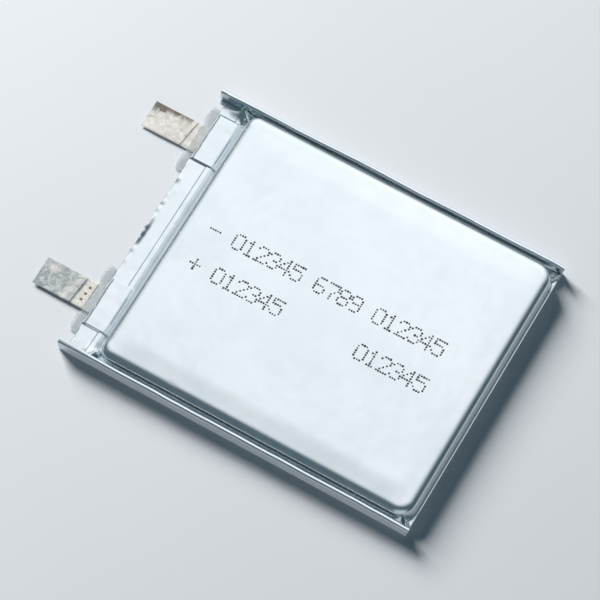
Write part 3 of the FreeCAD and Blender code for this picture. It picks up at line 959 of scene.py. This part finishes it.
def make_aluminium_strip(settings):
    """Aluminium strip from under the roll to the stub below the nickel foot."""
    across = TAB_WIDTH / 2 * np.linspace(-1.0, 1.0, 17)
    stations = gather(spread(positive_low.y, positive_high.y, 0.5), spread(CUT_EDGE, positive_high.y, 0.15))
    offset, station = np.meshgrid(across, stations)
    wave = 0.006 * ripple(offset, station, 1.6, 41.5)
    upper = np.stack([POSITIVE_X + offset, station, positive_high.z - 0.008 + wave], -1)
    lower = np.stack([POSITIVE_X + offset, station, positive_low.z + 0.008 + wave], -1)
    made = make_slab("aluminium_strip", upper, lower)
    crease_sharply(made, 60)
    wear(made, aluminium_finish("tab_aluminium", settings.aluminium))
    return made


def make_weld(index, x, y, radius, open_middle):
    """One weld spot: a low burnt ring round a dimple."""
    base = spots_low.z
    height = spots_high.z - base
    dimple = 0.15 if open_middle else 0.7
    profile = [(1.05, -0.3), (0.98, 0.35), (0.8, 0.95), (0.62, 1.0), (0.45, 0.8)]
    profile += [(0.25, dimple), (0.0, dimple)]
    points = []
    turns = 20
    for part, level in profile[:-1]:
        for turn in range(turns):
            angle = 2 * math.pi * turn / turns
            uneven = 1 + 0.12 * noise.noise(Vector((2 * math.cos(angle), 2 * math.sin(angle), index * 3.0)))
            reach = radius * part * uneven
            points.append((x + reach * math.cos(angle), y + reach * math.sin(angle), base + height * level))
    points.append((x, y, base + height * profile[-1][1]))
    faces = []
    for ring in range(len(profile) - 2):
        for turn in range(turns):
            after = (turn + 1) % turns
            here = ring * turns
            there = here + turns
            faces.append((here + turn, here + after, there + after, there + turn))
    last = (len(profile) - 2) * turns
    for turn in range(turns):
        faces.append((last + turn, last + (turn + 1) % turns, len(points) - 1))
    faces.append(tuple(range(turns))[::-1])
    return make_object("weld_spot_{}".format(index + 1), points, faces)


def make_film(name, tab_x, shift, upper, seed):
    """One sealant film of a pair: flat in the seal, crumpled where it sticks out beside the tab."""
    ear = (film_high.x - film_low.x) / 2
    inner = ear - 1.6
    start = film_low.y
    columns = np.linspace(-1.0, 1.0, 61)
    reach = [(y, 0.0) for y in spread(start, CUT_EDGE - 0.1, 0.5)]
    reach += [(CUT_EDGE, part) for part in np.linspace(0.0, 1.0, 15)]
    rows = []
    for base_y, part in reach:
        out = part * (FILM_END - CUT_EDGE)
        centre = tab_x + shift * (1 - smooth(np.array(part), 0.0, 0.2))
        half = inner + (ear - inner) * float(smooth(np.array(part), 0.0, 0.12))
        x = centre + columns * half
        offset = x - tab_x
        beside = smooth(np.abs(offset), TAB_WIDTH / 2, TAB_WIDTH / 2 + 0.6)
        lobe = beside * (0.55 * np.sqrt(np.clip(1 - ((np.abs(offset) - 3.4) / 1.75) ** 2, 0.0, 1.0)) - 0.2)
        frayed = 0.12 * ripple(offset, 0 * offset, 0.6, seed)
        y = base_y + part * (FILM_END - CUT_EDGE + lobe + frayed)
        over_tab = 1 - smooth(np.abs(offset), TAB_WIDTH / 2 - 0.05, TAB_WIDTH / 2 + 0.35)
        crumple = part * beside * (0.10 * ripple(x, y, 0.9, seed + 1) + 0.05 * ripple(x, y, 0.4, seed + 2))
        ridges = 0.015 * part * over_tab * np.sin(out * 2 * math.pi / 0.2)
        if upper:
            z = 0.235 + 0.12 * over_tab + 0.03 * (1 - part) + crumple + ridges
        else:
            z = 0.150 - 0.01 * over_tab + 0.6 * crumple
        rows.append(np.stack([x, y, np.maximum(z, 0.06)], -1))
    top = np.stack(rows)
    bottom = top.copy()
    bottom[:, :, 2] -= 0.035
    made = make_slab(name, top, bottom)
    crease_sharply(made, 60)
    return made


# ------------------------------------------------------------------ printed marks

DOT_SHAPES = {
    "0": ("01110", "10001", "10001", "10001", "10001", "10001", "01110"),
    "1": ("00100", "01100", "00100", "00100", "00100", "00100", "01110"),
    "2": ("01110", "10001", "00001", "00010", "00100", "01000", "11111"),
    "3": ("01110", "10001", "00001", "00110", "00001", "10001", "01110"),
    "4": ("00010", "00110", "01010", "10010", "11111", "00010", "00010"),
    "5": ("11111", "10000", "11110", "00001", "00001", "10001", "01110"),
    "6": ("01110", "10000", "10000", "11110", "10001", "10001", "01110"),
    "7": ("11111", "00001", "00001", "00010", "00100", "00100", "00100"),
    "8": ("01110", "10001", "10001", "01110", "10001", "10001", "01110"),
    "9": ("01110", "10001", "10001", "01111", "00001", "00001", "01110"),
    "-": ("00000", "00000", "00000", "11111", "00000", "00000", "00000"),
    "+": ("00000", "00100", "00100", "11111", "00100", "00100", "00000"),
}


def make_marks(cup, settings):
    """Digits and polarity marks as ink dots on the drawn face, read from the far side seal."""
    pitch = settings.cell_pitch / MM
    step = settings.dot_pitch / MM
    radius = settings.dot_radius / MM
    ink = 0.006
    sides = 9
    # Each line's text, the x of its highest dots and the y of its first character.
    lines = (
        (settings.first_line, 3.45, 16.15),
        (settings.second_line, -1.88, 16.05),
        (settings.end_group, -1.95, -8.05),
    )
    places = []
    for text, top, start in lines:
        for index, character in enumerate(text):
            for row, dots in enumerate(DOT_SHAPES.get(character, ())):
                for column, dot in enumerate(dots):
                    if dot == "1":
                        places.append((top - row * step, start - index * pitch - column * step * 0.98))
    places = np.array(places)
    wobble = 0.03 * ripple(places[:, 0], places[:, 1], 0.11, 51.5)
    places[:, 0] += wobble
    size = radius * (1 + 0.35 * ripple(places[:, 0], places[:, 1], 0.23, 53.5))
    points = []
    faces = []
    for (x, y), dot_radius in zip(places, size):
        first = len(points)
        angles = [2 * math.pi * part / sides for part in range(sides)]
        rim = [(x + dot_radius * math.cos(a), y + dot_radius * math.sin(a)) for a in angles]
        heights = cup.height(np.array([p[0] for p in rim] + [x]), np.array([p[1] for p in rim] + [y]))
        points += [(px, py, z - 0.01) for (px, py), z in zip(rim, heights)]
        points += [(px, py, z + 0.5 * ink) for (px, py), z in zip(rim, heights)]
        points.append((x, y, heights[-1] + 1.5 * ink))
        for part in range(sides):
            after = (part + 1) % sides
            faces.append((first + part, first + after, first + sides + after, first + sides + part))
            faces.append((first + sides + part, first + sides + after, first + 2 * sides))
        faces.append(tuple(first + part for part in range(sides))[::-1])
    made = make_object("printed_marks", points, faces)
    wear(made, ink_finish(settings))
    return made


# ------------------------------------------------------------------ operators

class CELL_OT_pouch_skin(bpy.types.Operator):
    """Drawn half of the pouch, with its terrace"""

    bl_idname = "cell.pouch_skin"
    bl_label = "Pouch Skin"

    def execute(self, context):
        made = make_skin(context.scene.pouch_look)
        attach(made, "cell")
        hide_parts("pouch_cup")
        return {"FINISHED"}


class CELL_OT_pouch_back(bpy.types.Operator):
    """Flat half of the pouch and the fold at its bottom end"""

    bl_idname = "cell.pouch_back"
    bl_label = "Pouch Back"

    def execute(self, context):
        sheet, lip = make_back(context.scene.pouch_look)
        for made in (sheet, lip):
            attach(made, "cell")
            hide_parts("pouch_back")
        return {"FINISHED"}


class CELL_OT_side_seals(bpy.types.Operator):
    """The two folded side seals"""

    bl_idname = "cell.side_seals"
    bl_label = "Side Seals"

    def execute(self, context):
        for side, node in ((-1, "left_side_seal"), (1, "right_side_seal")):
            made = make_seal(side, context.scene.pouch_look)
            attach(made, "cell")
            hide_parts(node)
        return {"FINISHED"}


class CELL_OT_negative_tab(bpy.types.Operator):
    """Negative nickel strip, with its crease"""

    bl_idname = "cell.negative_tab"
    bl_label = "Negative Tab"

    def execute(self, context):
        made, crease, slope = make_negative_strip(context.scene.tab_look)
        bend_with(made)
        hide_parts("negative_tab", "negative_tab_end")
        return {"FINISHED"}


class CELL_OT_positive_tab(bpy.types.Operator):
    """Positive nickel strip, with its crease, and the aluminium strip below its foot"""

    bl_idname = "cell.positive_tab"
    bl_label = "Positive Tab"

    def execute(self, context):
        made, crease, slope = make_positive_strip(context.scene.tab_look)
        bend_with(made)
        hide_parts("positive_tab_plate", "positive_tab_end")
        stub = make_aluminium_strip(context.scene.tab_look)
        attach(stub, "cell")
        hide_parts("positive_tab")
        return {"FINISHED"}


class CELL_OT_weld_spots(bpy.types.Operator):
    """Burnt weld spots on the foot of the positive nickel strip"""

    bl_idname = "cell.weld_spots"
    bl_label = "Weld Spots"

    def execute(self, context):
        crease, slope = crease_of("positive_tab_bend")
        finish = weld_finish(context.scene.tab_look)
        count = 3
        radius = (spots_high.z - spots_low.z) * 6.2
        first_x = spots_low.x + radius
        last_x = spots_high.x - radius
        for index in range(count):
            x = first_x + (last_x - first_x) * index / (count - 1)
            y = (spots_low.y + spots_high.y) / 2 + slope * (x - POSITIVE_X)
            made = make_weld(index, x, y, radius, index == 0)
            wear(made, finish)
            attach(made, "cell")
            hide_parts("positive_weld_spots")
        return {"FINISHED"}


class CELL_OT_tab_films(bpy.types.Operator):
    """Sealant films of both tabs"""

    bl_idname = "cell.tab_films"
    bl_label = "Tab Films"

    def execute(self, context):
        settings = context.scene.tab_look
        finish = film_finish(settings)
        shift = context.scene.pouch_look.negative_shift / MM
        tabs = (("positive", POSITIVE_X, 0.0, 61.5), ("negative", NEGATIVE_X, shift, 71.5))
        for sign, tab_x, off, seed in tabs:
            for level, upper in (("upper", True), ("lower", False)):
                name = "{}_{}_film".format(sign, level)
                made = make_film(name + "_sheet", tab_x, off, upper, seed + 5 * upper)
                wear(made, finish)
                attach(made, "cell")
                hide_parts(name)
        return {"FINISHED"}


class CELL_OT_printed_marks(bpy.types.Operator):
    """Dot printed digits and polarity marks"""

    bl_idname = "cell.printed_marks"
    bl_label = "Printed Marks"

    def execute(self, context):
        made = make_marks(Cup(context.scene.pouch_look), context.scene.print_look)
        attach(made, "cell")
        return {"FINISHED"}


class CELL_OT_winding(bpy.types.Operator):
    """Finishes of the wound sheets, leads, tapes and welds inside"""

    bl_idname = "cell.winding"
    bl_label = "Winding"

    def execute(self, context):
        settings = context.scene.inside_look
        porous = porous_finish(settings)
        copper = copper_finish(settings)
        foil = aluminium_finish("bare_aluminium", settings.foil)
        tape = tape_finish(settings)
        finishes = {
            "inner_separator": porous,
            "outer_separator": porous,
            "anode_sheet": coating_finish("graphite_coating", settings.graphite, 0.75),
            "cathode_sheet": coating_finish("oxide_coating", settings.oxide, 0.55),
            "anode_lead": copper,
            "cathode_lead": foil,
            "positive_foil_welds": foil,
            "negative_foil_welds": copper,
            "positive_tab_tape": tape,
            "negative_tab_tape": tape,
            "roll_end_tape": tape,
        }
        for node, finish in finishes.items():
            wear(frame["nodes"][node], finish)
        return {"FINISHED"}


class CELL_OT_stage(bpy.types.Operator):
    """Pale table, key lamp, sky and camera"""

    bl_idname = "cell.stage"
    bl_label = "Stage"

    def execute(self, context):
        settings = context.scene.stage_look
        make_table(settings)
        make_lamp(settings)
        make_sky()
        make_camera(settings)
        context.scene.view_settings.view_transform = "Standard"
        return {"FINISHED"}


# ------------------------------------------------------------------ stage

def make_table(settings):
    """Large pale table just under the cell."""
    half = 900.0
    below = 0.02
    lines = spread(-half, half, 150.0)
    x, y = np.meshgrid(lines, lines)
    z = np.full(x.shape, -below)
    made = make_object("table", np.stack([x, y, z], -1).reshape(-1, 3), grid_faces(*x.shape))
    wear(made, table_finish(settings))


def make_lamp(settings):
    """Soft key lamp, low over the tab end."""
    lamp = bpy.data.lights.new("key_lamp", "AREA")
    lamp.energy = settings.lamp_power
    lamp.size = settings.lamp_size
    lamp.color = (1.0, 0.985, 0.965)
    made = bpy.data.objects.new("key_lamp", lamp)
    direction = Vector((0.42, 0.80, 0.46)).normalized()
    made.location = direction * settings.lamp_distance
    made.rotation_mode = "QUATERNION"
    made.rotation_quaternion = direction.to_track_quat("Z", "Y")
    made.visible_glossy = False
    bpy.context.scene.collection.objects.link(made)


def sky_patch(tree, place, direction, edge, middle):
    """1 round a direction in the sky, fading to 0 where the cosine of the angle from it falls to edge."""
    towards = tree.nodes.new("ShaderNodeVectorMath")
    towards.operation = "DOT_PRODUCT"
    tree.links.new(place, towards.inputs[0])
    towards.inputs[1].default_value = Vector(direction).normalized()
    patch = tree.nodes.new("ShaderNodeMapRange")
    patch.interpolation_type = "SMOOTHERSTEP"
    tree.links.new(towards.outputs["Value"], patch.inputs["Value"])
    patch.inputs["From Min"].default_value = edge
    patch.inputs["From Max"].default_value = middle
    return patch.outputs["Result"]


def mix_sky(tree, factor, first, second):
    """First colour at factor 0 and second at 1; each is a colour or an output."""
    mix = tree.nodes.new("ShaderNodeMix")
    mix.data_type = "RGBA"
    tree.links.new(factor, mix.inputs[0])
    for socket, value in ((mix.inputs[6], first), (mix.inputs[7], second)):
        if isinstance(value, bpy.types.NodeSocket):
            tree.links.new(value, socket)
        else:
            socket.default_value = value
    return mix.outputs[2]


def make_sky():
    """World: a bright patch high over +X and a dimmer low one, mirrored by the metal, and a faint fill."""
    world = bpy.data.worlds.new("studio_sky")
    bpy.context.scene.world = world
    world.use_nodes = True
    tree = world.node_tree
    tree.nodes.clear()
    place = tree.nodes.new("ShaderNodeTexCoord").outputs["Generated"]
    high_patch = sky_patch(tree, place, (0.72, 0.18, 0.67), math.cos(math.radians(62)), 1.06)
    low_patch = sky_patch(tree, place, (-0.80, -0.47, 0.34), math.cos(math.radians(42)), 1.0)
    ground = mix_sky(tree, low_patch, (0.070, 0.110, 0.130, 1.0), (0.52, 0.58, 0.62, 1.0))
    mirror = mix_sky(tree, high_patch, ground, (1.14, 1.15, 1.17, 1.0))
    path = tree.nodes.new("ShaderNodeLightPath")
    seen = tree.nodes.new("ShaderNodeMath")
    seen.operation = "MAXIMUM"
    tree.links.new(path.outputs["Is Camera Ray"], seen.inputs[0])
    tree.links.new(path.outputs["Is Glossy Ray"], seen.inputs[1])
    also = tree.nodes.new("ShaderNodeMath")
    also.operation = "MAXIMUM"
    tree.links.new(seen.outputs["Value"], also.inputs[0])
    tree.links.new(path.outputs["Is Transmission Ray"], also.inputs[1])
    chosen = mix_sky(tree, also.outputs["Value"], (0.050, 0.080, 0.097, 1.0), mirror)
    background = tree.nodes.new("ShaderNodeBackground")
    tree.links.new(chosen, background.inputs["Color"])
    output = tree.nodes.new("ShaderNodeOutputWorld")
    tree.links.new(background.outputs["Background"], output.inputs["Surface"])


def make_camera(settings):
    """Long lens camera, high over the near bottom corner."""
    azimuth = math.radians(-60.0)
    elevation = math.radians(66.61)
    target = Vector((0.54, 2.06, 0.0)) * MM
    back = Vector((math.sin(azimuth) * math.cos(elevation), -math.cos(azimuth) * math.cos(elevation),
                   math.sin(elevation)))
    camera = bpy.data.cameras.new("camera")
    camera.lens = settings.lens / MM
    camera.sensor_width = 36.0
    camera.clip_start = 0.02
    camera.clip_end = 20.0
    made = bpy.data.objects.new("camera", camera)
    made.location = target + back * settings.camera_distance
    made.rotation_mode = "QUATERNION"
    made.rotation_quaternion = back.to_track_quat("Z", "Y")
    bpy.context.scene.collection.objects.link(made)
    bpy.context.scene.camera = made


# ------------------------------------------------------------------ panel and registration

OPERATORS = (
    CELL_OT_pouch_skin,
    CELL_OT_pouch_back,
    CELL_OT_side_seals,
    CELL_OT_negative_tab,
    CELL_OT_positive_tab,
    CELL_OT_weld_spots,
    CELL_OT_tab_films,
    CELL_OT_printed_marks,
    CELL_OT_winding,
    CELL_OT_stage,
)

SETTINGS = {
    "pouch_look": PouchSettings,
    "tab_look": TabSettings,
    "print_look": PrintSettings,
    "inside_look": InsideSettings,
    "stage_look": StageSettings,
}


class CELL_PT_builder(bpy.types.Panel):
    """Buttons for the pieces and fields for their settings"""

    bl_idname = "CELL_PT_builder"
    bl_label = "Pouch Battery Cell"
    bl_space_type = "VIEW_3D"
    bl_region_type = "UI"
    bl_category = "Pouch Cell"

    def draw(self, context):
        column = self.layout.column(align=True)
        for operator in OPERATORS:
            column.operator(operator.bl_idname)
        for attribute, group in SETTINGS.items():
            box = self.layout.box()
            box.label(text=group.__doc__)
            for field in group.__annotations__:
                box.prop(getattr(context.scene, attribute), field)


def register():
    for group in SETTINGS.values():
        bpy.utils.register_class(group)
    for operator in OPERATORS:
        bpy.utils.register_class(operator)
    bpy.utils.register_class(CELL_PT_builder)
    for attribute, group in SETTINGS.items():
        setattr(bpy.types.Scene, attribute, PointerProperty(type=group))


def unregister():
    for attribute in SETTINGS:
        delattr(bpy.types.Scene, attribute)
    bpy.utils.unregister_class(CELL_PT_builder)
    for operator in reversed(OPERATORS):
        bpy.utils.unregister_class(operator)
    for group in reversed(list(SETTINGS.values())):
        bpy.utils.unregister_class(group)


def main():
    """Register the add-on and build every piece in order."""
    register()
    bpy.ops.cell.pouch_skin()
    bpy.ops.cell.pouch_back()
    bpy.ops.cell.side_seals()
    bpy.ops.cell.negative_tab()
    bpy.ops.cell.positive_tab()
    bpy.ops.cell.weld_spots()
    bpy.ops.cell.tab_films()
    bpy.ops.cell.printed_marks()
    bpy.ops.cell.winding()
    bpy.ops.cell.stage()


if __name__ == "__main__":
    main()
